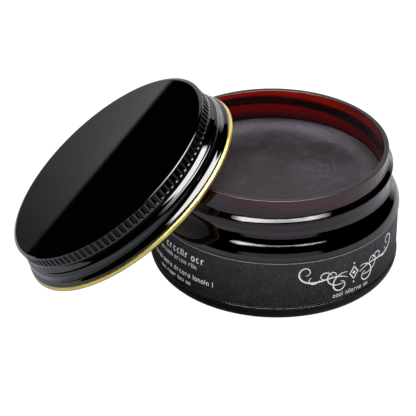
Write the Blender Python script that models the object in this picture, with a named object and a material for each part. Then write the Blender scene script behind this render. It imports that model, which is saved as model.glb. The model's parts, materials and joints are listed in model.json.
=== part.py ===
"""Low round screw-lid jar of cream shoe polish, open, with its metal lid leaning on the rim.

Metres, +Z up. The origin is the centre of the jar's base, on the surface that it stands on.
The lid leans towards -X: its curled edge stands on that surface and lies on the jar's rim.
"""

import math

import bmesh
import bpy

MM = 0.001
SEGMENTS = 72  # sides of a turned piece
TURN_STEP_DEG = 360 / SEGMENTS

# Jar: thin blown body with a moulded screw neck
BODY_R = 30.3 * MM
JAR_H = 32.0 * MM
HEEL_R = 4.2 * MM  # rounding between the base and the side
SHOULDER_R = 4.7 * MM
SHOULDER_Z = 17.2 * MM  # where the side ends and the shoulder's rounding begins
PANEL_R = 29.65 * MM  # recessed band that the label lies in
PANEL_LOW = 4.2 * MM
PANEL_TOP = 17.0 * MM
NECK_R = 27.15 * MM
BORE_R = 25.9 * MM
LIP_ROUND = 0.3 * MM
WALL = 0.9 * MM
FLOOR = 1.2 * MM

# Screw thread, the same on the neck and in the lid
PITCH = 4.233 * MM
NECK_THREAD_R = 28.35 * MM
NECK_THREAD_Z = 26.64 * MM  # height of the ridge's middle at the front, -Y
NECK_THREAD_DEG = (-232, 168)

# Label and contents
LABEL_GAP = 0.2 * MM
LABEL_THICK = 0.25 * MM
LABEL_MARGIN = 0.2 * MM
CREAM_TOP = 24.0 * MM
CREAM_GAP = 0.25 * MM

# Lid, measured down its own axis from the centre of its top
LID_TILT = math.radians(38)
TIN = 0.3 * MM
LID_EDGE_R = 28.1 * MM  # flat top's edge
KNURL_TOP = 0.12 * MM
KNURL_LOW = 2.35 * MM
KNURL_R = 29.0 * MM
KNURL_ROOT_R = 28.6 * MM
KNURL_RIDGES = 108
WAIST_R = 28.45 * MM  # under the knurl and just below it
BAND_R = 29.0 * MM
BAND_TOP = 3.3 * MM
BAND_LOW = 6.6 * MM
FLARE_R = 30.1 * MM
CURL_RING_R = 30.4 * MM
CURL_R = 0.65 * MM
CURL_DEPTH = 8.55 * MM
LID_THREAD_R = 27.8 * MM
LID_THREAD_DEPTH = 5.88 * MM  # depth of the ridge's middle at LID_THREAD_FRONT
LID_THREAD_FRONT = -55
LID_THREAD_DEG = (-192, 128)
LINER_R = 27.7 * MM
LINER_TOP = 0.55 * MM
LINER_THICK = 0.9 * MM

# The curl touches the surface, and its ring's centre stands here, 0.4 mm clear of the rim
LID_RING_X = -35.0 * MM


def clear_scene():
    for obj in list(bpy.data.objects):
        bpy.data.objects.remove(obj, do_unlink=True)


def material(name, colour, roughness, metallic=0.0):
    made = bpy.data.materials.new(name)
    made.use_nodes = True
    shader = made.node_tree.nodes["Principled BSDF"]
    shader.inputs["Base Color"].default_value = (*colour, 1)
    shader.inputs["Roughness"].default_value = roughness
    shader.inputs["Metallic"].default_value = metallic
    return made


def link(name, mesh, finish=None):
    obj = bpy.data.objects.new(name, mesh)
    bpy.context.scene.collection.objects.link(obj)
    if finish:
        mesh.materials.append(finish)
    return obj


def arc(centre_r, centre_z, radius, start_deg, end_deg, steps):
    """Points (r, z) of a round stretch of a profile."""
    points = []
    for step in range(steps + 1):
        angle = math.radians(start_deg + (end_deg - start_deg) * step / steps)
        points.append((centre_r + radius * math.cos(angle), centre_z + radius * math.sin(angle)))
    return points


def turned(name, profile, finish, closed=False):
    """A profile of (r, z) points, which runs down its outer side, spun about Z."""
    mesh = bpy.data.meshes.new(name)
    count = len(profile)
    edges = [(i, (i + 1) % count) for i in range(count if closed else count - 1)]
    mesh.from_pydata([(r, 0, z) for r, z in profile], edges, [])
    obj = link(name, mesh, finish)
    screw = obj.modifiers.new("turn", "SCREW")
    screw.steps = SEGMENTS
    screw.render_steps = SEGMENTS
    screw.use_merge_vertices = True
    screw.merge_threshold = 1e-6
    screw.use_smooth_shade = True
    return obj


def join(obj, tool):
    """Unites a helper solid with a piece."""
    tool.hide_render = True
    tool.display_type = "WIRE"
    union = obj.modifiers.new(tool.name, "BOOLEAN")
    union.operation = "UNION"
    union.solver = "EXACT"
    union.object = tool


def loft(name, sections, closed=False):
    """A solid through sections of equal count: capped at both ends, or joined into a ring."""
    shape = bmesh.new()
    rings = [[shape.verts.new(point) for point in section] for section in sections]
    if closed:
        rings.append(rings[0])
    else:
        shape.faces.new(rings[0])
        shape.faces.new(rings[-1])
    for first, second in zip(rings, rings[1:]):
        for i in range(len(first)):
            j = (i + 1) % len(first)
            shape.faces.new((first[i], first[j], second[j], second[i]))
    bmesh.ops.recalc_face_normals(shape, faces=shape.faces)
    mesh = bpy.data.meshes.new(name)
    shape.to_mesh(mesh)
    shape.free()
    return link(name, mesh)


def around(angle_deg, outline):
    """A section's (r, z) points, placed at an angle about Z."""
    cos, sin = math.cos(math.radians(angle_deg)), math.sin(math.radians(angle_deg))
    return [(r * cos, r * sin, z) for r, z in outline]


def thread_ridge(name, wall_r, crest_r, middle_z, middle_deg, span_deg, half_root, half_crest):
    """A right-hand ridge that rises out of a wall and fades into it at both ends."""
    fade_deg = 30
    bury = math.copysign(0.4 * MM, wall_r - crest_r)
    start, end = span_deg
    steps = round((end - start) / TURN_STEP_DEG)
    sections = []
    for step in range(steps + 1):
        angle = start + (end - start) * step / steps
        rise = min(1, 0.12 + (angle - start) / fade_deg, 0.12 + (end - angle) / fade_deg)
        crest = wall_r + (crest_r - wall_r) * rise
        z = middle_z + PITCH * (angle - middle_deg) / 360
        outline = (
            (wall_r + bury, z - half_root),
            (crest, z - half_crest),
            (crest, z + half_crest),
            (wall_r + bury, z + half_root),
        )
        sections.append(around(angle, outline))
    return loft(name, sections)


def jar():
    heel = arc(BODY_R - HEEL_R, HEEL_R, HEEL_R, 0, -90, 4)
    shoulder_centre = BODY_R - SHOULDER_R
    shoulder_end = math.degrees(math.acos((NECK_R - shoulder_centre) / SHOULDER_R))
    inner_end = math.degrees(math.acos((BORE_R - shoulder_centre) / (SHOULDER_R - WALL)))
    inner_side = BODY_R - WALL
    inside = (
        [(0, FLOOR)]
        + arc(inner_side - HEEL_R, FLOOR + HEEL_R, HEEL_R, -90, 0, 3)
        + arc(shoulder_centre, SHOULDER_Z, SHOULDER_R - WALL, 0, inner_end, 3)
    )
    lip = (
        [(BORE_R, JAR_H - LIP_ROUND), (BORE_R + LIP_ROUND, JAR_H)]
        + [(NECK_R - LIP_ROUND, JAR_H), (NECK_R, JAR_H - LIP_ROUND)]
    )
    shoulder = arc(shoulder_centre, SHOULDER_Z, SHOULDER_R, shoulder_end, 0, 5)
    panel = [(PANEL_R, PANEL_TOP), (PANEL_R, PANEL_LOW + LABEL_MARGIN)]
    body = turned("jar", inside + lip + shoulder + panel + heel + [(0, 0)], AMBER)
    ridge = thread_ridge(
        "neck_thread", NECK_R, NECK_THREAD_R, NECK_THREAD_Z, -96, NECK_THREAD_DEG, 0.95 * MM, 0.5 * MM
    )
    join(body, ridge)


def label():
    inner, outer = PANEL_R + LABEL_GAP, PANEL_R + LABEL_GAP + LABEL_THICK
    low, top = PANEL_LOW + 2 * LABEL_MARGIN, PANEL_TOP - LABEL_MARGIN
    turned("label", [(inner, top), (outer, top), (outer, low), (inner, low)], PRINT, closed=True)


def cream():
    """The filling: it follows the inside of the jar and crowns a little at its edge."""
    side = BODY_R - WALL - CREAM_GAP
    floor = FLOOR + CREAM_GAP
    shoulder_centre = BODY_R - SHOULDER_R
    shoulder_round = SHOULDER_R - WALL - CREAM_GAP
    edge = BORE_R - CREAM_GAP
    edge_deg = math.degrees(math.acos((edge - shoulder_centre) / shoulder_round))
    surface = [(0, CREAM_TOP - 0.5 * MM), (0.6 * edge, CREAM_TOP - 0.3 * MM), (0.93 * edge, CREAM_TOP)]
    rim = [(edge - 0.3 * MM, CREAM_TOP), (edge, CREAM_TOP - 0.3 * MM)]
    shoulder = arc(shoulder_centre, SHOULDER_Z, shoulder_round, edge_deg, 0, 3)
    heel = arc(side - HEEL_R, floor + HEEL_R, HEEL_R, 0, -90, 3)
    turned("polish_cream", surface + rim + shoulder + heel + [(0, floor)], CREAM)


def lid_frame():
    """An empty at the centre of the lid's top, with +Z along the lid's axis."""
    ring_z = CURL_RING_R * math.sin(LID_TILT) + CURL_R
    frame = bpy.data.objects.new("lid_frame", None)
    bpy.context.scene.collection.objects.link(frame)
    frame.location = (
        LID_RING_X - CURL_DEPTH * math.sin(LID_TILT),
        0,
        ring_z + CURL_DEPTH * math.cos(LID_TILT),
    )
    frame.rotation_euler = (0, -LID_TILT, 0)
    return frame


def knurl_ring():
    """The band of upright ridges round the lid, as a ring to join to its side."""
    count = 2 * KNURL_RIDGES
    inner = WAIST_R - TIN / 2
    chamfer = 0.22 * MM
    sections = []
    for i in range(count):
        crest = KNURL_R if i % 2 else KNURL_ROOT_R
        outline = (
            (inner, -KNURL_TOP),
            (KNURL_ROOT_R, -KNURL_TOP),
            (crest, -KNURL_TOP - chamfer),
            (crest, -KNURL_LOW + chamfer),
            (KNURL_ROOT_R, -KNURL_LOW),
            (inner, -KNURL_LOW),
        )
        sections.append(around(360 * i / count, outline))
    return loft("knurl_ring", sections, closed=True)


def lid_shell(frame):
    outside = (
        [(0, 0), (LID_EDGE_R, 0), (WAIST_R, -0.25 * MM)]
        + [(WAIST_R, -BAND_TOP + 0.4 * MM), (BAND_R, -BAND_TOP), (BAND_R, -BAND_LOW)]
        + [(BAND_R + 0.3 * MM, -BAND_LOW - 0.5 * MM), (FLARE_R, -CURL_DEPTH + CURL_R + 0.2 * MM)]
    )
    curl = arc(CURL_RING_R, -CURL_DEPTH, CURL_R, 80, -190, 6)
    inner_waist = WAIST_R - TIN
    inside = (
        [(BAND_R, -BAND_LOW - 0.6 * MM), (BAND_R - TIN, -BAND_LOW)]
        + [(BAND_R - TIN, -BAND_TOP - 0.2 * MM), (inner_waist, -BAND_TOP + 0.2 * MM)]
        + [(inner_waist, -TIN), (0, -TIN)]
    )
    shell = turned("lid_shell", outside + curl + inside, LACQUER)
    ridge = thread_ridge(
        "lid_thread", BAND_R - TIN, LID_THREAD_R, -LID_THREAD_DEPTH, LID_THREAD_FRONT,
        LID_THREAD_DEG, 0.75 * MM, 0.35 * MM,
    )
    shell.parent = frame
    for tool in (knurl_ring(), ridge):
        tool.parent = frame
        join(shell, tool)


def lid_liner(frame):
    """The sealing disc in the lid, with a shallow step where the rim bites."""
    top, low = -LINER_TOP, -LINER_TOP - LINER_THICK
    bite = 0.15 * MM
    profile = (
        [(0, top), (LINER_R, top), (LINER_R, low), (NECK_R + 0.2 * MM, low)]
        + [(NECK_R, low + bite), (BORE_R, low + bite), (BORE_R - 0.2 * MM, low), (0, low)]
    )
    turned("lid_liner", profile, FOAM).parent = frame


clear_scene()
AMBER = material("amber_plastic", (0.035, 0.010, 0.006), 0.12)
PRINT = material("label_print", (0.032, 0.032, 0.034), 0.5)
CREAM = material("cream", (0.075, 0.068, 0.075), 0.45)
LACQUER = material("black_lacquer", (0.006, 0.006, 0.007), 0.1)
FOAM = material("liner_foam", (0.80, 0.79, 0.75), 0.7)

jar()
label()
cream()
LID_FRAME = lid_frame()
lid_shell(LID_FRAME)
lid_liner(LID_FRAME)
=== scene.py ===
"""Looks of the open shoe polish jar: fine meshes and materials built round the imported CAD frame.

The scene is in metres, +Z up, in the CAD frame. Profiles and the sizes below are in millimetres and
degrees. The jar's pieces are turned about Z. The lid's pieces are turned about the lid's own axis,
with heights measured up that axis from the centre of the lid's top.
"""

import json
import math
import random

import bpy
import numpy as np
from mathutils import Matrix, Vector


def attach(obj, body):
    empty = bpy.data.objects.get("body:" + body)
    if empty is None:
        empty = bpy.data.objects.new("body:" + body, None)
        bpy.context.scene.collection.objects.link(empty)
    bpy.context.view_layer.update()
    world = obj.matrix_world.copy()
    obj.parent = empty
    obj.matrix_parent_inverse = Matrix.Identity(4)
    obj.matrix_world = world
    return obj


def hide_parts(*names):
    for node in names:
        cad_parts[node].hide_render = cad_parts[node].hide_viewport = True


MM = 0.001
PITCH = 4.233
THREAD_FADE = 30  # a thread's ends run out over this turn

# Jar
JAR_SEGMENTS = 480
BODY_R = 30.3
HEEL_R = 4.2
SHOULDER_R = 4.6
SHOULDER_Z = 17.2
SHOULDER_TURN = 52  # where the shoulder turns from bulging to hollow
NECK_FILLET_R = 3.6
NECK_R = 27.15
BORE_R = 25.9
JAR_H = 32.0
LIP_OUTER_ROUND = 0.14
LIP_INNER_ROUND = 0.12
WALL = 0.9
FLOOR = 1.2
BASE_HOLLOW = [(25.0, 0.0), (24.4, 0.12), (23.8, 0.35), (22.5, 0.45), (12.0, 0.5), (0, 0.5)]
PANEL_R = 29.65
PANEL_LOW = 4.4
PANEL_TOP = 17.0
PANEL_BEVEL = 0.05
LEDGE_ROUND = 0.12
RIDGE_Z = 26.64  # height of the ridge's middle at azimuth RIDGE_FRONT
RIDGE_FRONT = -96
RIDGE_SPAN = (-232, 168)
RIDGE_ZONE = (22.0, 31.9)  # heights of the neck's wall that can carry the ridge
RIDGE_SHAPE = (  # height above the ridge's middle, rise above the neck
    (-1.05, 0.0), (-0.95, 0.10), (-0.75, 0.80), (-0.55, 1.10), (-0.30, 1.20), (-0.08, 1.15),
    (0.12, 0.95), (0.80, 0.14), (0.95, 0.03), (1.10, 0.0),
)
# The amber's bands are painted light and shade that follow the ridge.
RIDGE_LEAN = 26.5  # the amber's bands rise by 1 for every 26.5 of y - x

# Label and its print
LABEL_INNER_R = 29.85
LABEL_R = 30.1
LABEL_LOW = 4.6
LABEL_TOP = 16.8
LABEL_SOFT = 0.09
MM_PER_DEG = math.pi * LABEL_R / 180
PRINT_RISE = 0.03
PRINT_SINK = 0.02
MARK_WIDE = 0.48  # width of a mark, and of a stem, in shares of its row's tallest mark
MARK_NARROW = 0.12
MARK_GAP = 0.13
MARK_KINDS = ("ring", "ring", "stem", "tall", "hook", "arch", "dish")
MARK_BARS = {  # strokes of each greeked mark, across and up in shares of its width and height
    "stem": [[(0.5, 0.0), (0.5, 0.35), (0.5, 0.7)]],
    "tall": [[(0.5, 0.0), (0.5, 0.5), (0.5, 1.0)]],
    "hook": [[(0.2, 0.0), (0.2, 0.35), (0.2, 0.7)], [(0.2, 0.55), (0.55, 0.70), (0.95, 0.62)]],
    "arch": [[(0.1, 0.0), (0.1, 0.35), (0.1, 0.68)],
             [(0.1, 0.55), (0.5, 0.72), (0.9, 0.50), (0.9, 0.25), (0.9, 0.0)]],
    "dish": [[(0.9, 0.62), (0.45, 0.72), (0.1, 0.36), (0.45, 0.0), (0.9, 0.12)]],
}
MARK_ROWS = (  # start and end azimuth, height, tallest mark, stroke weight, gap between words
    (-153.0, -128.5, 12.8, 1.85, 0.27, 0.75),
    (-158.0, -133.0, 10.8, 1.25, 0.13, 0.55),
    (-164.5, -123.0, 7.6, 1.35, 0.16, 0.65),
    (-158.0, -136.0, 5.6, 1.10, 0.13, 0.55),
    (-67.5, -47.0, 5.4, 1.15, 0.13, 0.6),
)
ORNAMENT_DEG = -56.5
ORNAMENT_Z = 10.7
SCROLLS = (  # start, heading, length, bend at the start and at the end, broadest and finest width
    ((1.9, -0.6), 0.62, 20.0, -0.16, 1.15, 0.40, 0.12),
    ((1.9, 0.9), 0.35, 12.5, -0.30, -1.0, 0.34, 0.11),
    ((2.6, -1.6), -0.35, 10.5, 0.18, 1.3, 0.30, 0.10),
    ((6.2, 1.0), 1.1, 5.2, -0.35, -1.9, 0.26, 0.09),
    ((9.4, 0.6), -1.0, 4.6, 0.5, 1.6, 0.24, 0.09),
)
LOZENGE = [(0.0, 1.7), (0.62, 0.8), (1.25, 0.0), (0.62, -0.8), (0.0, -1.7)]
DOTS = ((0.42, 0.0), (0.24, 2.6), (0.24, -2.6))  # size, height above the lozenge's middle

# Cream
CREAM_TOP = 24.0
CREAM_GAP = 0.1
CREAM_DISH = 0.52  # depth of its middle below CREAM_TOP
CREAM_BOWL = 0.10  # slow rise from the middle to the wall
CREAM_CLIMB = 0.56  # quick rise near the wall
CREAM_CLIMB_SPAN = (20.3, 25.0)
CREAM_SWELLS = 14
CREAM_DIMPLES = 9
CREAM_STILL_SPAN = (24.6, 25.6)  # swells and dimples fade out here

# Lid
TIN = 0.3
TOP_RISE = 0.85  # the pressed top stands this far above the CAD's flat top
FLAT_R = 28.3
CHAMFER_BETA = 68  # tilt of the chamfer's face above the lid's side
EDGE_R = 29.05
EDGE_ROUND = 0.42
POCKETS = 108
POCKET_WIDE = 1.25
POCKET_TOP = 0.42
POCKET_LOW = -2.1
POCKET_CORNER = 0.4
POCKET_SLOPE = 0.3
POCKET_DEEP = 0.3
LID_SEGMENTS = 12 * POCKETS
LID_THREAD_DEPTH = 5.6  # at azimuth LID_THREAD_FRONT of the lid
LID_THREAD_FRONT = -55
LID_THREAD_SPAN = (-192, 128)
LID_THREAD_HOLLOW = 0.16
LID_THREAD_HALF = 0.28
LID_THREAD_ZONE = (-7.4, -3.6)  # heights of the wall that the thread is rolled into
LID_THREAD_ZONE_R = 30.1
LID_STRAIGHT_LOW = -2.36  # the straight side with the pockets ends here
LID_SIDE = [  # below the pockets: the undercut, the cone and its step, the wall and the flare
    (29.05, -2.38), (29.02, -2.44), (28.85, -2.53), (28.55, -2.62), (28.25, -2.71), (28.10, -2.79),
    (28.06, -2.88), (28.11, -2.98), (28.30, -3.17), (28.55, -3.43), (28.80, -3.72), (29.00, -3.98),
    (29.12, -4.12), (29.32, -4.20), (29.50, -4.28), (29.60, -4.42), (29.68, -4.62), (29.74, -4.82),
    (29.79, -5.00), (29.80, -5.15), (29.80, -5.75), (29.81, -5.98), (29.86, -6.20), (29.95, -6.40),
    (30.09, -6.58), (30.28, -6.76), (30.48, -6.93), (30.64, -7.08), (30.74, -7.22), (30.78, -7.38),
    (30.78, -7.50), (30.70, -7.62),
]
LID_INSIDE = [  # from the curl up to the liner
    (29.62, -7.75), (29.60, -7.20), (29.55, -6.80), (29.48, -6.40), (29.46, -5.90), (29.45, -5.20),
    (29.38, -4.90), (29.22, -4.60), (28.95, -4.35), (28.60, -3.90), (28.20, -3.45), (27.85, -3.05),
    (27.76, -2.88), (27.85, -2.66), (28.15, -2.45), (28.30, -2.25), (28.30, -0.80),
]
CURL_RING_R = 30.4
CURL_R = 0.65
CURL_DEPTH = 8.35
LINER_R = 27.7
LINER_TOP = 0.55
LINER_THICK = 0.9
LINER_SOFT = 0.12
LINER_BITE = 0.15
LINER_BITE_INNER = (25.5, 25.95)  # the bite's two slopes
LINER_BITE_OUTER = (27.0, 27.4)

# Studio, in metres
ROOM_R = 2.4
WORLD_GLOW = 0.9
FLOOR_GLOW = 1.05
SOFTBOX_PLACE = (0.05, -0.1, 1.0)
SOFTBOX_TARGET = (0, 0, 0.02)
SOFTBOX_SIZE = (0.8, 0.6)
SOFTBOX_POWER = 5
SOFTBOX_FACE_GLOW = 22
SOFTBOX_FACE_X = ((-0.56, 0.0), (-0.44, 1.0), (0.36, 1.0), (0.62, 0.0))  # place, share of the glow
SOFTBOX_FACE_Y = ((-0.50, 0.0), (-0.38, 1.0), (0.30, 1.0), (0.38, 0.0))
FRONT_CARD_X = ((-1.25, 0.0), (-0.95, 1.0), (0.95, 1.0), (1.25, 0.0))
FRONT_CARD_Y = -1.6
FRONT_CARD_TOP = 0.70
FRONT_CARD_GLOW = 0.9
FRONT_CARD_TINT = (0.95, 0.94, 1.10)
BACK_CARD_X = (
    (-1.7, 0.05), (-1.05, 0.11), (-0.99, 0.17), (-0.96, 0.26), (-0.93, 0.33), (-0.90, 0.44), (-0.87, 0.53),
    (-0.84, 0.59), (-0.78, 0.74), (-0.70, 0.83), (-0.62, 0.9), (0.3, 0.8), (0.5, 1.1), (0.7, 1.9),
    (1.2, 1.9), (1.4, 0.9), (1.7, 0.35), (2.2, 0.0),
)
BACK_CARD_Y = 1.5
BACK_CARD_HIGH = 1.15  # top of its right part
BACK_CARD_STEP = -0.65  # the low left part ends here
BACK_CARD_LOW = 0.639  # height of the left part's sloping edge where it would cross x = 0
BACK_CARD_SLOPE = 0.425
BACK_CARD_BELOW = (0.0, 0.01, 0.02, 0.03, 0.045, 0.06, 0.08, 0.11, 0.15)  # rows, down from the edge
SHADE_MIDDLE_X = -0.006
SHADE_HALF = (0.038, 0.034)
SHADE_RINGS = ((0.0, 0.03), (0.85, 0.05), (1.0, 0.16), (1.15, 0.36), (1.4, 0.62), (1.8, 0.88), (2.2, 1.0))
SHADE_TINT = (0.94, 0.95, 1.08)
SHADE_Z = 0.0002

# Camera
CAMERA_PLACE = (-0.047977, -0.454441, 0.295346)
CAMERA_TURN = (-4.005, 58.311, 0.404)  # about Z, then X, then Z again
LENS = 190.4
SENSOR = 36.0


# ---------------------------------------------------------------- meshes

def arc(centre_r, centre_z, radius, start_deg, end_deg, steps):
    """Points (r, z) of a round stretch of a profile."""
    angles = np.radians(np.linspace(start_deg, end_deg, steps + 1))
    return [(centre_r + radius * math.cos(a), centre_z + radius * math.sin(a)) for a in angles]


def line(start, end, steps):
    """Points (r, z) of a straight stretch, both ends included."""
    share = np.linspace(0, 1, steps + 1)
    return [(start[0] + (end[0] - start[0]) * t, start[1] + (end[1] - start[1]) * t) for t in share]


def resample(points, step):
    """The same path in steps of at most a given length, with its corners cut a little."""
    path = np.array(points)
    for _ in range(2):
        middle = (path[:-1] + path[1:]) / 2
        cut = np.empty((2 * len(middle), 2))
        cut[0::2] = 0.5 * (path[:-1] + middle)
        cut[1::2] = 0.5 * (middle + path[1:])
        path = np.vstack([path[:1], cut, path[-1:]])
    away = np.concatenate([[0], np.cumsum(np.hypot(*np.diff(path, axis=0).T))])
    wanted = np.linspace(0, away[-1], max(2, int(away[-1] / step)))
    return list(zip(np.interp(wanted, away, path[:, 0]), np.interp(wanted, away, path[:, 1])))


def smooth(low, high, value):
    """0 below low, 1 above high and an even curve between, for arrays."""
    t = np.clip((value - low) / (high - low), 0, 1)
    return t * t * (3 - 2 * t)


def add_object(name, data):
    """A new object in the scene that shows a mesh, a light or a camera."""
    obj = bpy.data.objects.new(name, data)
    bpy.context.scene.collection.objects.link(obj)
    return obj


def new_piece(name, vertices, faces, materials, zones=None, sharp_deg=40):
    """A smooth-shaded mesh object; zones gives each face's material number."""
    mesh = bpy.data.meshes.new(name)
    mesh.from_pydata([tuple(v) for v in vertices], [], faces)
    for finish in materials:
        mesh.materials.append(finish)
    if zones is not None:
        mesh.polygons.foreach_set("material_index", np.asarray(zones, np.int32))
    mesh.polygons.foreach_set("use_smooth", np.ones(len(mesh.polygons), bool))
    mesh.set_sharp_from_angle(angle=math.radians(sharp_deg))
    mesh.update()
    return add_object(name, mesh)


def revolve(name, profile, segments, materials, relief=None, loop=False, numbers=None, sharp_deg=40):
    """Spins (r, z) points in millimetres about Z into one closed piece.

    The profile runs down the outer side. It starts and ends on the axis, or loop joins its ends.
    relief(angle_deg, r, z) gives extra radius. numbers gives each row's material number, where a
    row runs from one profile point to the next.
    """
    rows = np.array(profile if loop else profile[1:-1], float)
    numbers = numbers or [0] * len(profile)
    angles = np.linspace(0, 360, segments, endpoint=False)
    r = np.repeat(rows[:, :1], segments, axis=1)
    z = np.repeat(rows[:, 1:], segments, axis=1)
    if relief:
        r = r + relief(angles[None, :], r, z)
    turn = np.radians(angles)[None, :]
    points = np.stack([r * np.cos(turn), r * np.sin(turn), z], axis=-1).reshape(-1, 3) * MM
    count = len(rows)
    faces = []
    zones = []
    for row in range(count if loop else count - 1):
        upper = row * segments
        lower = (row + 1) % count * segments
        for i in range(segments):
            j = (i + 1) % segments
            faces.append((upper + i, lower + i, lower + j, upper + j))
        zones.extend([numbers[row if loop else row + 1]] * segments)
    if not loop:
        # A fan of triangles closes each end on the axis
        ends = ((profile[0], 0, 1, numbers[0]), (profile[-1], (count - 1) * segments, -1, numbers[-2]))
        points = np.vstack([points, [[0, 0, end[1] * MM] for end, _, _, _ in ends]])
        for k, (_, first, way, number) in enumerate(ends):
            pole = count * segments + k
            for i in range(segments):
                j = (i + 1) % segments
                faces.append((pole, first + i, first + j)[::way])
            zones.extend([number] * segments)
    return new_piece(name, points, faces, materials, zones, sharp_deg)


def helix_height(angle_deg, middle_z, front_deg, span):
    """Heights of a thread's middle at each azimuth, for the turns that its span covers."""
    turns = []
    for turn in (-1, 0, 1):
        along = (angle_deg + 180) % 360 - 180 + 360 * turn
        height = middle_z + PITCH * (along - front_deg) / 360
        fade = smooth(span[0], span[0] + THREAD_FADE, along)
        fade = fade * (1 - smooth(span[1] - THREAD_FADE, span[1], along))
        turns.append((height, fade))
    return turns


# ---------------------------------------------------------------- materials

class Nodes:
    """Short calls for building one material's node tree."""

    def __init__(self, name):
        self.material = bpy.data.materials.new(name)
        self.material.use_nodes = True
        self.tree = self.material.node_tree
        self.shader = self.tree.nodes["Principled BSDF"]
        self.place = self.add("ShaderNodeTexCoord").outputs["Object"]

    def add(self, kind, **settings):
        node = self.tree.nodes.new(kind)
        for key, value in settings.items():
            setattr(node, key, value)
        return node

    def feed(self, socket, value):
        """Gives a node's socket a number, or links another node's output to it."""
        if isinstance(value, (int, float)):
            socket.default_value = value
        else:
            self.tree.links.new(value, socket)

    def set(self, **values):
        """Sets the shader's own sockets; an underscore in a name stands for a space."""
        for key, value in values.items():
            self.shader.inputs[key.replace("_", " ")].default_value = value

    def colour(self, output):
        self.feed(self.shader.inputs["Base Color"], output)

    def roughness(self, output):
        self.feed(self.shader.inputs["Roughness"], output)

    def noise(self, scale, detail=3.0, roughness=0.5):
        node = self.add("ShaderNodeTexNoise")
        node.inputs["Scale"].default_value = scale
        node.inputs["Detail"].default_value = detail
        node.inputs["Roughness"].default_value = roughness
        self.feed(node.inputs["Vector"], self.place)
        return node.outputs["Fac"]

    def cells(self, scale):
        node = self.add("ShaderNodeTexVoronoi")
        node.inputs["Scale"].default_value = scale
        self.feed(node.inputs["Vector"], self.place)
        return node.outputs["Distance"]

    def ramp(self, factor, stops):
        """A colour ramp from (position, colour) pairs; a colour may be one grey value."""
        node = self.add("ShaderNodeValToRGB")
        elements = node.color_ramp.elements
        while len(elements) < len(stops):
            elements.new(0.5)
        for element, (position, colour) in zip(elements, stops):
            element.position = position
            colour = colour if isinstance(colour, tuple) else (colour,) * 3
            element.color = (*colour, 1)
        self.feed(node.inputs["Fac"], factor)
        return node.outputs["Color"]

    def map_range(self, value, low, high, to_low=0.0, to_high=1.0):
        node = self.add("ShaderNodeMapRange")
        self.feed(node.inputs["Value"], value)
        for key, number in (("From Min", low), ("From Max", high), ("To Min", to_low), ("To Max", to_high)):
            node.inputs[key].default_value = number
        return node.outputs["Result"]

    def multiply(self, first, second):
        """The product of two colours."""
        node = self.add("ShaderNodeMix", data_type="RGBA", blend_type="MULTIPLY")
        factor, first_colour, second_colour = (node.inputs[i] for i in (0, 6, 7))
        self.feed(factor, 1.0)
        self.feed(first_colour, first)
        self.feed(second_colour, second)
        return node.outputs[2]

    def axes(self):
        """The shaded point's X, Y and Z in the CAD frame, in metres."""
        node = self.add("ShaderNodeSeparateXYZ")
        self.feed(node.inputs["Vector"], self.place)
        return node.outputs["X"], node.outputs["Y"], node.outputs["Z"]

    def math(self, kind, first, second):
        node = self.add("ShaderNodeMath", operation=kind)
        self.feed(node.inputs[0], first)
        self.feed(node.inputs[1], second)
        return node.outputs["Value"]

    def bump(self, height, distance, strength=1.0, after=None):
        """Bumps on the shader's normal, on top of an earlier call's bumps if after is given."""
        node = self.add("ShaderNodeBump")
        node.inputs["Strength"].default_value = strength
        node.inputs["Distance"].default_value = distance
        self.feed(node.inputs["Height"], height)
        if after:
            self.feed(node.inputs["Normal"], after)
        self.feed(self.shader.inputs["Normal"], node.outputs["Normal"])
        return node.outputs["Normal"]


def amber_plastic():
    """Dark amber see-through plastic whose tint carries painted light and shade along the screw ridge:
    painted bright red above it and just below it, where light shines through, painted black where the
    ridge sends the light away, partly standing for the thicker plastic there, and nearly black further
    down. The lip's tint is darkened as painted shade, and everything darkens towards the right."""
    m = Nodes("amber_plastic")
    m.set(Transmission_Weight=1.0, IOR=1.47, Specular_Tint=(1.0, 0.93, 0.96, 1.0))
    along, depth, height = m.axes()
    lean = m.math("MULTIPLY", m.math("SUBTRACT", along, depth), 1 / RIDGE_LEAN)
    # Painted light and shade laid along the ridge: bright red where light shines through, black where the
    # ridge turns it away; partly the real darkening of thicker plastic.
    tint = m.ramp(
        m.map_range(m.math("ADD", height, lean), 0.0218, 0.0318),
        [(0.0, (0.002, 0.0014, 0.0014)), (0.20, (0.006, 0.0006, 0.0005)), (0.27, (0.045, 0.0005, 0.0003)),
         (0.50, (0.090, 0.0006, 0.0003)), (0.58, (0.008, 0.0003, 0.0002)), (0.72, (0.002, 0.0003, 0.0002)),
         (0.77, (0.16, 0.003, 0.0006)), (0.90, (0.20, 0.005, 0.001)), (1.0, (0.14, 0.004, 0.001))],
    )
    cloud = m.ramp(m.noise(90, 3), [(0.3, 0.82), (0.7, 1.0)])
    far = m.ramp(
        m.map_range(along, 0.004, 0.026),
        [(0.0, 1.0), (0.3, 0.78), (0.53, 0.78), (0.75, 0.52), (1.0, 0.42)],
    )
    # Painted shade: the lip's tint is darkened.
    lip = m.ramp(m.map_range(height, 0.0317, 0.03194), [(0.0, 1.0), (1.0, 0.08)])
    m.colour(m.multiply(tint, m.multiply(m.multiply(cloud, far), lip)))
    haze = m.map_range(m.noise(700, 4), 0.3, 0.7, 0.015, 0.05)
    rubbed = m.map_range(height, 0.03196, 0.03199, 0.0, 0.3)
    m.roughness(m.math("ADD", haze, rubbed))
    m.bump(m.noise(260, 3), 0.00004, 0.6)
    return m.material


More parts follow.
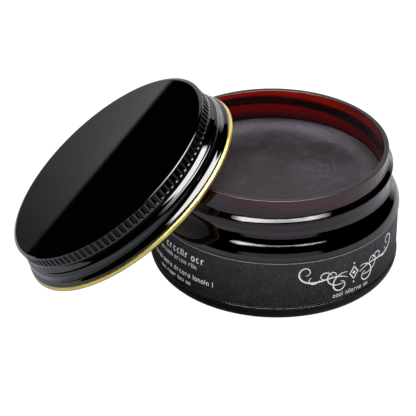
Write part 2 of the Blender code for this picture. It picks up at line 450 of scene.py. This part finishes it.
def label_film():
    """Satin black film with a fine printed grain, and painted shade in its colour: a painted shadow of the
    lid, browner and darker at the left, and painted shade low down that gives way to painted light at the
    top.
    """
    m = Nodes("label_film")
    m.set(IOR=1.36)
    along, _, height = m.axes()
    grain = m.noise(1300, 5, 0.75)
    mottle = m.noise(240, 4, 0.6)
    shade = m.ramp(grain, [(0.38, (0.0034, 0.0028, 0.0031)), (0.62, (0.0240, 0.0208, 0.0222))])
    drift = m.ramp(mottle, [(0.3, 0.65), (0.7, 1.25)])
    # Painted shadow of the lid: browner and darker at the left.
    side = m.ramp(m.map_range(along, -0.03, 0.012), [(0.0, (0.62, 0.50, 0.42)), (1.0, 1.0)])
    # Painted shade low down and painted light towards the top.
    painted_light_by_height = m.ramp(m.map_range(height, 0.0046, 0.0168), [(0.0, 0.7), (1.0, 1.35)])
    m.colour(m.multiply(shade, m.multiply(drift, m.multiply(side, painted_light_by_height))))
    m.roughness(m.map_range(mottle, 0.3, 0.7, 0.36, 0.50))
    m.bump(grain, 0.00005, 0.6)
    return m.material


def label_core():
    """Cut edge of the label: the pale stock shows between the film's faces."""
    m = Nodes("label_core")
    m.set(Roughness=0.6)
    fibre = m.noise(2500, 4, 0.6)
    m.colour(m.ramp(fibre, [(0.3, (0.38, 0.37, 0.40)), (0.7, (0.54, 0.52, 0.56))]))
    m.bump(fibre, 0.00003, 0.5)
    return m.material


def print_ink():
    """Off-white screen ink, a little thin in places."""
    m = Nodes("print_ink")
    wear = m.noise(2200, 4, 0.65)
    m.colour(m.ramp(wear, [(0.25, (0.42, 0.41, 0.42)), (0.5, (0.66, 0.65, 0.66))]))
    m.roughness(m.map_range(wear, 0.3, 0.7, 0.45, 0.6))
    m.bump(wear, 0.00001, 0.5)
    return m.material


def polish_cream():
    """Black cream with a soft satin skin, a fine grain and faint brownish patches. The skin is
    duller where the cream climbs the wall."""
    m = Nodes("polish_cream")
    m.set(IOR=1.385, Specular_Tint=(0.98, 0.86, 1.0, 1.0))
    along, depth, _ = m.axes()
    radius_squared = m.math("ADD", m.math("MULTIPLY", along, along), m.math("MULTIPLY", depth, depth))
    grain = m.noise(1300, 5, 0.75)
    patch = m.noise(55, 4, 0.6)
    base = m.ramp(patch, [(0.40, (0.005, 0.0028, 0.0032)), (0.58, (0.016, 0.012, 0.016))])
    speckle = m.ramp(grain, [(0.36, 0.1), (0.62, 2.0)])
    m.colour(m.multiply(base, speckle))
    edge = m.map_range(radius_squared, 0.018 ** 2, 0.0225 ** 2, 0.0, 0.15)
    m.roughness(m.math("ADD", m.map_range(patch, 0.3, 0.7, 0.40, 0.48), edge))
    rough = m.bump(m.noise(260, 4, 0.6), 0.0003, 0.5)
    m.bump(grain, 0.00014, 0.7, after=rough)
    return m.material


def black_lacquer(name="black_lacquer", ior=1.47):
    """Baked high-gloss black lacquer with a trace of orange peel; with a low ior it is a darker copy, used
    as painted shade on the pocket floors.
    """
    m = Nodes(name)
    m.set(IOR=ior)
    cloud = m.noise(160, 3)
    m.colour(m.ramp(cloud, [(0.3, (0.0003, 0.0003, 0.0004)), (0.7, (0.0008, 0.0008, 0.001))]))
    m.roughness(m.map_range(cloud, 0.3, 0.7, 0.003, 0.008))
    m.bump(m.noise(1500, 3, 0.7), 0.0000008, 0.6)
    return m.material


def gold_lacquer():
    """Clear gold lacquer over tinplate."""
    m = Nodes("gold_lacquer")
    m.set(Metallic=1.0)
    cloud = m.noise(400, 4, 0.6)
    m.colour(m.ramp(cloud, [(0.3, (0.52, 0.41, 0.10)), (0.7, (0.68, 0.56, 0.18))]))
    m.roughness(m.map_range(cloud, 0.3, 0.7, 0.34, 0.44))
    m.bump(m.noise(1600, 3), 0.000006, 0.5)
    return m.material


def inside_lacquer_painted_shade():
    """Dull bronze copy of the gold lacquer for the inside of the lid: painted shade, darker than the gold.
    """
    m = Nodes("inside_lacquer_painted_shade")
    m.set(Metallic=1.0)
    cloud = m.noise(300, 4, 0.6)
    m.colour(m.ramp(cloud, [(0.3, (0.13, 0.09, 0.025)), (0.7, (0.20, 0.15, 0.05))]))
    m.roughness(m.map_range(cloud, 0.3, 0.7, 0.3, 0.42))
    m.bump(m.noise(1200, 3), 0.000008, 0.5)
    return m.material


def liner_foam():
    """Foamed off-white sealing disc: closed cells, faintly dusty."""
    m = Nodes("liner_foam")
    m.set(Roughness=0.75)
    m.colour(m.ramp(m.noise(180, 4), [(0.3, (0.70, 0.69, 0.65)), (0.7, (0.82, 0.81, 0.77))]))
    m.bump(m.cells(2600), 0.00008, 0.6)
    return m.material


# ---------------------------------------------------------------- jar pieces

def shoulder_points(offset=0.0):
    """The S-shaped shoulder from the side up to the neck, or the same at an offset inside it."""
    bulge = arc(BODY_R - SHOULDER_R, SHOULDER_Z, SHOULDER_R - offset, 0, SHOULDER_TURN, 14)
    turn = math.radians(SHOULDER_TURN)
    reach = SHOULDER_R + NECK_FILLET_R
    hollow_r = BODY_R - SHOULDER_R + reach * math.cos(turn)
    hollow_z = SHOULDER_Z + reach * math.sin(turn)
    hollow = arc(hollow_r, hollow_z, NECK_FILLET_R + offset, 180 + SHOULDER_TURN, 180, 10)
    return bulge + hollow[1:]


def bore_points():
    """Inside of the shoulder, up to the bore."""
    inside = [point for point in shoulder_points(WALL) if point[0] > BORE_R]
    return inside + [(BORE_R, inside[-1][1] + 0.4)]


def jar_relief(angle, r, z):
    """The screw ridge round the outside of the neck."""
    rise = np.zeros(np.broadcast_shapes(angle.shape, r.shape))
    heights, rises = zip(*RIDGE_SHAPE)
    on_neck = (np.abs(r - NECK_R) < 0.6) & (z > RIDGE_ZONE[0]) & (z < RIDGE_ZONE[1])
    for height, fade in helix_height(angle, RIDGE_Z, RIDGE_FRONT, RIDGE_SPAN):
        rise = np.maximum(rise, np.interp(z - height, heights, rises, left=0, right=0) * fade)
    return np.where(on_neck, rise, 0)


def jar_piece(finish):
    """The jar, from the middle of its floor up the inside, over the lip and down to its base."""
    shoulder = shoulder_points()
    inner = (
        [(0, FLOOR), (12.0, FLOOR), (22.0, FLOOR)]
        + arc(BODY_R - WALL - HEEL_R, FLOOR + HEEL_R, HEEL_R, -90, 0, 12)
        + bore_points()
        + line((BORE_R, 22.5), (BORE_R, JAR_H - LIP_INNER_ROUND - 0.1), 16)
    )
    lip = (
        arc(BORE_R + LIP_INNER_ROUND, JAR_H - LIP_INNER_ROUND, LIP_INNER_ROUND, 180, 90, 5)
        + arc(NECK_R - LIP_OUTER_ROUND, JAR_H - LIP_OUTER_ROUND, LIP_OUTER_ROUND, 90, 0, 7)
    )
    neck = line((NECK_R, JAR_H - LIP_OUTER_ROUND - 0.1), (NECK_R, shoulder[-1][1] + 0.05), 90)
    panel = [
        (BODY_R - PANEL_BEVEL, PANEL_TOP + PANEL_BEVEL), (PANEL_R + PANEL_BEVEL, PANEL_TOP),
        (PANEL_R, PANEL_TOP - PANEL_BEVEL), (PANEL_R, PANEL_LOW + PANEL_BEVEL),
        (PANEL_R + PANEL_BEVEL, PANEL_LOW),
    ]
    foot = (
        arc(BODY_R - LEDGE_ROUND, PANEL_LOW - LEDGE_ROUND, LEDGE_ROUND, 90, 0, 6)
        + arc(BODY_R - HEEL_R, HEEL_R, HEEL_R, 0, -90, 16)
        + BASE_HOLLOW
    )
    profile = inner + lip + neck + shoulder[::-1] + panel + foot
    return revolve("jar_body", profile, JAR_SEGMENTS, [finish], jar_relief, sharp_deg=50)


def label_piece(film, core):
    """A thin band in the recess, with softened edges that show its pale stock."""
    soft = LABEL_SOFT
    profile = (
        [(LABEL_INNER_R, LABEL_TOP), (LABEL_R - soft, LABEL_TOP), (LABEL_R, LABEL_TOP - soft)]
        + line((LABEL_R, LABEL_TOP - 0.25), (LABEL_R, LABEL_LOW + 0.25), 20)
        + [(LABEL_R, LABEL_LOW + soft), (LABEL_R - soft, LABEL_LOW), (LABEL_INNER_R, LABEL_LOW)]
    )
    # Core at the top and bottom edges, film on the face between and on the back
    numbers = [1, 1] + [0] * (len(profile) - 5) + [1, 1, 0]
    return revolve("label_band", profile, JAR_SEGMENTS, [film, core], loop=True, numbers=numbers)


def cream_piece(finish):
    """The filling: a shallow dish of cream, poured and set, that climbs a little at the wall."""
    side = BODY_R - WALL - CREAM_GAP
    floor = FLOOR + CREAM_GAP
    edge = BORE_R - CREAM_GAP
    surface = []
    for r in np.linspace(0, edge - 0.25, 70):
        rise = CREAM_BOWL * (r / edge) ** 3 + CREAM_CLIMB * float(smooth(*CREAM_CLIMB_SPAN, r))
        surface.append((r, CREAM_TOP - CREAM_DISH + rise))
    rim = [(edge - 0.12, CREAM_TOP + 0.16), (edge, CREAM_TOP + 0.12)]
    low = [point for point in shoulder_points(WALL + CREAM_GAP) if point[0] > edge][::-1]
    heel = arc(side - HEEL_R, floor + HEEL_R, HEEL_R, 0, -90, 8)
    profile = surface + rim + [(edge, low[0][1] + 0.4)] + low + heel + [(0, floor)]
    obj = revolve("polish_fill", profile, 360, [finish], sharp_deg=60)
    settle(obj.data)
    return obj


def settle(mesh):
    """Gives the cream's top slow swells and a few soft dimples, which fade out at the wall."""
    co = np.empty(len(mesh.vertices) * 3)
    mesh.vertices.foreach_get("co", co)
    co = co.reshape(-1, 3)
    top = co[:, 2] > (CREAM_TOP - 1.0) * MM
    x = co[:, 0] / MM
    y = co[:, 1] / MM
    rng = np.random.default_rng(7)
    swell = np.zeros(len(co))
    for _ in range(CREAM_SWELLS):
        wave = rng.uniform(0.12, 0.5)
        phase = rng.uniform(0, 2 * math.pi)
        way = rng.uniform(0, math.pi)
        swell += 0.022 / (wave * 3) * np.sin(wave * (x * math.cos(way) + y * math.sin(way)) + phase)
    for _ in range(CREAM_DIMPLES):
        reach = rng.uniform(4, 22)
        turn = rng.uniform(0, 2 * math.pi)
        size = rng.uniform(1.6, 4.5)
        away = np.hypot(x - reach * math.cos(turn), y - reach * math.sin(turn))
        swell -= rng.uniform(0.02, 0.06) * np.exp(-((away / size) ** 2))
    inward = 1 - smooth(*CREAM_STILL_SPAN, np.hypot(x, y))
    co[:, 2] += np.where(top, swell * inward, 0) * MM
    mesh.vertices.foreach_set("co", co.ravel())
    mesh.update()


# ---------------------------------------------------------------- label print

def on_label(along, height, rise):
    """A point of the label's face: along in degrees of azimuth, height and rise in millimetres."""
    r = (LABEL_R + rise) * MM
    turn = math.radians(along)
    return (r * math.cos(turn), r * math.sin(turn), height * MM)


def add_stroke(vertices, faces, path, widths):
    """One closed ribbon of ink along a path of (azimuth in degrees, height in mm) points."""
    flat = np.array([(a * MM_PER_DEG, z) for a, z in path])
    ahead = np.gradient(flat, axis=0)
    ahead /= np.linalg.norm(ahead, axis=1)[:, None]
    across = np.stack([-ahead[:, 1], ahead[:, 0]], axis=1)
    first = len(vertices)
    for middle, side, width in zip(flat, across, widths):
        for way, rise in ((1, -PRINT_SINK), (1, PRINT_RISE), (-1, PRINT_RISE), (-1, -PRINT_SINK)):
            s, z = middle + way * side * width / 2
            vertices.append(on_label(s / MM_PER_DEG, z, rise))
    last = len(vertices) - 4
    for a in range(first, last, 4):
        b = a + 4
        for i in range(4):
            j = (i + 1) % 4
            faces.append((a + i, a + j, b + j, b + i))
    faces.append(tuple(first + i for i in (3, 2, 1, 0)))
    faces.append(tuple(last + i for i in range(4)))


def mark_bars(kind):
    """The strokes of one greeked mark; they spell nothing."""
    if kind == "ring":
        turns = np.radians(np.linspace(0, 360, 15))
        return [[(0.5 + 0.5 * math.cos(t), 0.34 + 0.34 * math.sin(t)) for t in turns]]
    return MARK_BARS[kind]


def text_lines(ink):
    """Greeked lines: rows of small marks in word-like groups."""
    rng = random.Random(11)
    vertices, faces = [], []
    for start, end, height, tall, weight, word_gap in MARK_ROWS:
        along = start
        letters = rng.randint(4, 7)
        while along < end:
            kind = rng.choice(MARK_KINDS)
            wide = tall * (MARK_NARROW if kind in ("stem", "tall") else MARK_WIDE)
            for bar in mark_bars(kind):
                path = [(along + x * wide / MM_PER_DEG, height + y * tall) for x, y in bar]
                add_stroke(vertices, faces, path, [weight] * len(path))
            step = wide + weight + MARK_GAP * tall
            letters -= 1
            if letters == 0:
                letters = rng.randint(4, 7)
                step += word_gap
            along += step / MM_PER_DEG
    return new_piece("label_lines", vertices, faces, [ink])


def scroll(start, heading, length, bend_first, bend_last, steps=48):
    """Points in millimetres of a curve that bends more and more from its first bend to its last."""
    x, y = start
    points = [(x, y)]
    step = length / steps
    for i in range(steps):
        heading += step * (bend_first + (bend_last - bend_first) * ((i + 0.5) / steps) ** 2)
        x += step * math.cos(heading)
        y += step * math.sin(heading)
        points.append((x, y))
    return points


def ornament(ink):
    """A plain printer's flourish: a lozenge between two mirrored groups of fine scrolls."""
    vertices, faces = [], []
    strokes = [(scroll(*curve), broad, fine) for *curve, broad, fine in SCROLLS]
    strokes.append((LOZENGE, 0.34, 0.26))
    for points, broad, fine in strokes:
        share = np.linspace(0, 1, len(points))
        widths = fine + (broad - fine) * np.sin(math.pi * share) ** 0.7
        for way in (1, -1):
            path = [(ORNAMENT_DEG + way * x / MM_PER_DEG, ORNAMENT_Z + y) for x, y in points]
            add_stroke(vertices, faces, path, widths)
    for size, height in DOTS:
        share = np.linspace(-1, 1, 9)
        path = [(ORNAMENT_DEG, ORNAMENT_Z + height + size * t) for t in share]
        widths = [2 * size * math.sqrt(max(1 - t * t, 0.02)) for t in share]
        add_stroke(vertices, faces, path, widths)
    return new_piece("label_ornament", vertices, faces, [ink])


# ---------------------------------------------------------------- lid pieces

def pocket_share(angle, z):
    """0 between the grip pockets and 1 on their floors."""
    pitch = 2 * math.pi * EDGE_R / POCKETS
    along = ((angle * POCKETS / 360) % 1 - 0.5) * pitch
    aside = np.abs(along) - (POCKET_WIDE / 2 - POCKET_CORNER)
    middle = (POCKET_TOP + POCKET_LOW) / 2
    half = (POCKET_TOP - POCKET_LOW) / 2
    above = np.abs(z - middle) - (half - POCKET_CORNER)
    beyond = np.hypot(np.maximum(aside, 0), np.maximum(above, 0))
    within = np.minimum(np.maximum(aside, above), 0)
    return smooth(0, POCKET_SLOPE, POCKET_CORNER - beyond - within)


def lid_relief(angle, r, z):
    """Upright grip pockets pressed into the side, and the rolled screw thread's hollow."""
    edge = (r > EDGE_R - EDGE_ROUND) & (z > POCKET_LOW - 0.3) & (z < TOP_RISE - 0.1)
    wall = (z > LID_THREAD_ZONE[0]) & (z < LID_THREAD_ZONE[1]) & (r < LID_THREAD_ZONE_R)
    hollow = np.zeros(np.broadcast_shapes(angle.shape, z.shape))
    for height, fade in helix_height(angle, -LID_THREAD_DEPTH, LID_THREAD_FRONT, LID_THREAD_SPAN):
        hollow = np.maximum(hollow, np.exp(-(((z - height) / LID_THREAD_HALF) ** 2)) * fade)
    pockets = np.where(edge, POCKET_DEEP * pocket_share(angle, z), 0)
    return -pockets - np.where(wall, LID_THREAD_HOLLOW * hollow, 0)


def lid_outside():
    """Points (r, z) down the outside of the lid, from its centre to the start of the curl."""
    turn = math.radians(CHAMFER_BETA)
    round_r = EDGE_R - EDGE_ROUND
    chamfer_r = round_r + EDGE_ROUND * math.cos(turn)
    chamfer_z = TOP_RISE - (chamfer_r - FLAT_R) / math.tan(turn)
    round_z = chamfer_z - EDGE_ROUND * math.sin(turn)
    top = [(r, TOP_RISE) for r in (0, 6, 13, 20, 25)]
    blend = [(FLAT_R - 0.6, TOP_RISE), (FLAT_R, TOP_RISE), (chamfer_r - 0.05, chamfer_z + 0.02)]
    return (
        top + resample(blend, 0.08) + arc(round_r, round_z, EDGE_ROUND, CHAMFER_BETA, 0, 12)
        + line((EDGE_R, round_z - 0.05), (EDGE_R, LID_STRAIGHT_LOW), 34) + resample(LID_SIDE, 0.06)
    )


def lid_piece(black, gold, shaded_gold, hollow):
    """The pressed tin shell: black outside, a gold curl, and inside a darker bronze copy of the gold as
    painted shade; the pocket floors take a darker copy of the black lacquer, also painted shade.
    """
    outside = lid_outside()
    curl = arc(CURL_RING_R, -CURL_DEPTH, CURL_R, 72, -205, 34)
    inside = resample(LID_INSIDE, 0.12)
    ceiling = arc(28.0, -0.6, 0.3, 0, 90, 3) + [(20, -TIN), (10, -TIN), (0, -TIN)]
    profile = outside + curl + inside + ceiling
    numbers = [0] * len(outside) + [1] * len(curl) + [2] * (len(inside) + len(ceiling))
    finishes = [black, gold, shaded_gold, hollow]
    obj = revolve("lid_tin", profile, LID_SEGMENTS, finishes, lid_relief, numbers=numbers, sharp_deg=60)
    # Painted shade: the pocket floors take the darker copy of the black lacquer.
    paint_shade_on_pocket_floors(obj.data.polygons, 0, 3)
    return obj


def paint_shade_on_pocket_floors(polygons, old_number, new_number):
    """Changes the material number of the faces on the grip pockets' floors."""
    centres = np.empty(len(polygons) * 3)
    polygons.foreach_get("center", centres)
    x, y, z = (centres.reshape(-1, 3) / MM).T
    on_side = (np.hypot(x, y) > EDGE_R - 2 * POCKET_DEEP) & (z > POCKET_LOW - 0.3)
    floors = on_side & (pocket_share(np.degrees(np.arctan2(y, x)), z) > 0.35)
    numbers = np.empty(len(polygons), np.int32)
    polygons.foreach_get("material_index", numbers)
    numbers[floors & (numbers == old_number)] = new_number
    polygons.foreach_set("material_index", numbers)


def liner_piece(finish):
    """The sealing disc: soft edges and a shallow ring where the jar's rim has bitten."""
    soft = LINER_SOFT
    top = -LINER_TOP
    low = top - LINER_THICK
    rim = [(LINER_R - soft, top), (LINER_R, top - soft), (LINER_R, low + soft), (LINER_R - soft, low)]
    dent = []
    for r in np.linspace(27.5, 25.3, 24):
        bite = float(smooth(*LINER_BITE_INNER, r) * (1 - smooth(*LINER_BITE_OUTER, r)))
        dent.append((r, low + LINER_BITE * bite))
    profile = [(0, top)] + rim + dent + [(20, low), (10, low), (0, low)]
    return revolve("lid_seal", profile, 240, [finish])


# ---------------------------------------------------------------- studio

def reflections_only(obj):
    """Hides a thing from everything but glossy reflections."""
    obj.visible_camera = False
    obj.visible_diffuse = False
    obj.visible_transmission = False
    obj.visible_volume_scatter = False
    obj.visible_shadow = False


def glow_material(name, strength):
    """Light whose colour comes from the mesh's own glow colours."""
    finish = bpy.data.materials.new(name)
    finish.use_nodes = True
    tree = finish.node_tree
    tree.nodes.clear()
    glow = tree.nodes.new("ShaderNodeEmission")
    glow.inputs["Strength"].default_value = strength
    shares = tree.nodes.new("ShaderNodeVertexColor")
    shares.layer_name = "glow"
    out = tree.nodes.new("ShaderNodeOutputMaterial")
    tree.links.new(shares.outputs["Color"], glow.inputs["Color"])
    tree.links.new(glow.outputs["Emission"], out.inputs["Surface"])
    return finish


def card(name, columns, strength, tint=(1.0, 1.0, 1.0)):
    """A glowing card that only reflections see.

    Each column is a list of (point, share of the strength), the same number in every column.
    """
    tall = len(columns[0])
    spots = [spot for column in columns for spot in column]
    faces = [(k * tall + i, (k + 1) * tall + i, (k + 1) * tall + i + 1, k * tall + i + 1)
             for k in range(len(columns) - 1) for i in range(tall - 1)]
    mesh = bpy.data.meshes.new(name)
    mesh.from_pydata([point for point, _ in spots], [], faces)
    layer = mesh.color_attributes.new("glow", "FLOAT_COLOR", "POINT")
    for i, (_, share) in enumerate(spots):
        layer.data[i].color = (*(share * part for part in tint), 1)
    mesh.materials.append(glow_material(name, strength))
    obj = add_object(name, mesh)
    reflections_only(obj)


def overhead_card():
    """Face of the overhead softbox, with a soft border."""
    z = SOFTBOX_PLACE[2]
    columns = [[((x, y, z), a * b) for y, b in SOFTBOX_FACE_Y] for x, a in SOFTBOX_FACE_X]
    card("softbox_face", columns, SOFTBOX_FACE_GLOW)


def front_card():
    """Pale card in front, up to about 24 degrees above the floor, with soft ends."""
    heights = (0.0, FRONT_CARD_TOP)
    columns = [[((x, FRONT_CARD_Y, z), share) for z in heights] for x, share in FRONT_CARD_X]
    card("front_card", columns, FRONT_CARD_GLOW, FRONT_CARD_TINT)


def backdrop_card():
    """Card behind: low at the left under a sloping edge it glows along, high and bright at the right."""
    columns = []
    for x, share in BACK_CARD_X:
        low_part = x < BACK_CARD_STEP
        edge = BACK_CARD_LOW + BACK_CARD_SLOPE * x if low_part else BACK_CARD_HIGH
        column = []
        for gap in BACK_CARD_BELOW:
            fall = 0.35 + 0.65 * math.exp(-gap / 0.05) if low_part else 1.0
            column.append(((x, BACK_CARD_Y, edge - gap), share * fall))
        foot = min(edge - 0.16, 0.0)
        columns.append(column + [((x, BACK_CARD_Y, foot), column[-1][1])])
    card("back_card", columns, 1.0)


def contact_shade():
    """What gloss sees of the floor close to the jar and lid: dark beneath them, pale further out."""
    half_x, half_y = SHADE_HALF
    sides = 48
    columns = []
    for turn in np.linspace(0, 2 * math.pi, sides + 1):
        column = []
        for size, share in SHADE_RINGS:
            x = SHADE_MIDDLE_X + size * half_x * math.cos(turn)
            y = size * half_y * math.sin(turn)
            column.append(((x, y, SHADE_Z), share))
        columns.append(column)
    card("contact_shade", columns, FLOOR_GLOW, SHADE_TINT)


def dark_room():
    """A black dome, so that gloss and the see-through amber show dark between the cards."""
    rings, sides = 12, 48
    points = []
    for lift in np.linspace(0, math.pi / 2, rings + 1):
        for i in range(sides):
            turn = 2 * math.pi * i / sides
            r = ROOM_R * math.cos(lift)
            points.append((r * math.cos(turn), r * math.sin(turn), ROOM_R * math.sin(lift) - 0.001))
    faces = []
    for k in range(rings):
        for i in range(sides):
            j = (i + 1) % sides
            faces.append((k * sides + i, k * sides + j, (k + 1) * sides + j, (k + 1) * sides + i))
    mesh = bpy.data.meshes.new("dark_room")
    mesh.from_pydata(points, [], faces)
    m = Nodes("dark_room")
    m.set(Base_Color=(0, 0, 0, 1), Specular_IOR_Level=0)
    mesh.materials.append(m.material)
    obj = add_object("dark_room", mesh)
    reflections_only(obj)
    obj.visible_transmission = True


def floor_piece():
    """A round pale floor with a faint even grain."""
    sides = 96
    turns = [2 * math.pi * i / sides for i in range(sides)]
    points = [(ROOM_R * math.cos(turn), ROOM_R * math.sin(turn), 0) for turn in turns]
    mesh = bpy.data.meshes.new("floor")
    mesh.from_pydata(points, [], [tuple(range(len(points)))])
    m = Nodes("floor_paper")
    m.set(Roughness=0.9, Specular_IOR_Level=0.0, Emission_Strength=FLOOR_GLOW)
    grain = m.noise(60, 3)
    m.colour(m.ramp(grain, [(0.3, 0.10), (0.7, 0.11)]))
    m.feed(m.shader.inputs["Emission Color"], m.ramp(grain, [(0.3, 0.98), (0.7, 1.0)]))
    mesh.materials.append(m.material)
    add_object("floor", mesh)


def softbox_light():
    """The overhead softbox's light; gloss sees its face card in its place."""
    data = bpy.data.lights.new("softbox", "AREA")
    data.shape = "RECTANGLE"
    data.size, data.size_y = SOFTBOX_SIZE
    data.energy = SOFTBOX_POWER
    obj = add_object("softbox", data)
    obj.location = SOFTBOX_PLACE
    aim = Vector(SOFTBOX_TARGET) - Vector(SOFTBOX_PLACE)
    obj.rotation_euler = aim.to_track_quat("-Z", "Y").to_euler()
    obj.visible_glossy = False


def set_world():
    """Even white light from all round."""
    world = bpy.data.worlds.new("studio")
    world.use_nodes = True
    back = world.node_tree.nodes["Background"]
    back.inputs["Color"].default_value = (1.0, 1.0, 1.0, 1)
    back.inputs["Strength"].default_value = WORLD_GLOW
    bpy.context.scene.world = world


def studio():
    bpy.context.scene.view_settings.view_transform = "Standard"
    set_world()
    floor_piece()
    dark_room()
    softbox_light()
    overhead_card()
    front_card()
    backdrop_card()
    contact_shade()


def camera():
    """The camera that looks down at the jar and lid from the front."""
    data = bpy.data.cameras.new("camera")
    data.lens = LENS
    data.sensor_width = SENSOR
    data.clip_start = 0.01
    data.clip_end = 20
    obj = add_object("camera", data)
    first, tilt, last = (math.radians(a) for a in CAMERA_TURN)
    turn = Matrix.Rotation(first, 4, "Z") @ Matrix.Rotation(tilt, 4, "X") @ Matrix.Rotation(last, 4, "Z")
    obj.matrix_world = Matrix.Translation(CAMERA_PLACE) @ turn
    bpy.context.scene.camera = obj


# ---------------------------------------------------------------- assembly

def lid_matrix(joints):
    """Place of the lid: the turning joint gives its axis and the centre of its top."""
    joint = next(j for j in joints if j["name"] == "lid_turn")
    axis = Vector(joint["axis"]).normalized()
    side = Vector((0, 1, 0))
    slope = side.cross(axis)
    turn = Matrix((slope, side, axis)).transposed().to_4x4()
    return Matrix.Translation(joint["pos_m"]) @ turn


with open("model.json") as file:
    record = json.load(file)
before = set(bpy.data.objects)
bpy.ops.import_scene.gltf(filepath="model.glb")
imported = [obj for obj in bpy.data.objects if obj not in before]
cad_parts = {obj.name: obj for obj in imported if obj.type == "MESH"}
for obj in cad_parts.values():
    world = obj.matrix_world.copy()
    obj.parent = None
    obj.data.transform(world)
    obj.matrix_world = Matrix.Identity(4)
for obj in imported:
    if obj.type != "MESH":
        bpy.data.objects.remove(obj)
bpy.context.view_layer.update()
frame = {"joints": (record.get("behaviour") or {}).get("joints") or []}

jar_body = jar_piece(amber_plastic())
label_band = label_piece(label_film(), label_core())
ink = print_ink()
lines = text_lines(ink)
flourish = ornament(ink)
polish = cream_piece(polish_cream())

lid_place = lid_matrix(frame["joints"])
# The lid's inside and its pocket floors take darker copies of its lacquers: painted shade.
lid_tin = lid_piece(black_lacquer(), gold_lacquer(), inside_lacquer_painted_shade(), black_lacquer("pocket_lacquer_painted_shade", 1.21))
lid_seal = liner_piece(liner_foam())
for piece in (lid_tin, lid_seal):
    piece.data.transform(lid_place)

for piece, body, node, slot in (
    (jar_body, "jar", "jar", "amber_plastic"),
    (label_band, "jar", "label", "label_print"),
    (lines, "jar", None, "label_print"),
    (flourish, "jar", None, "label_print"),
    (polish, "jar", "polish_cream", "cream"),
    (lid_tin, "lid_shell", "lid_shell", "black_lacquer"),
    (lid_seal, "lid_liner", "lid_liner", "liner_foam"),
):
    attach(piece, body)
    if node:
        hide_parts(node)

studio()
camera()
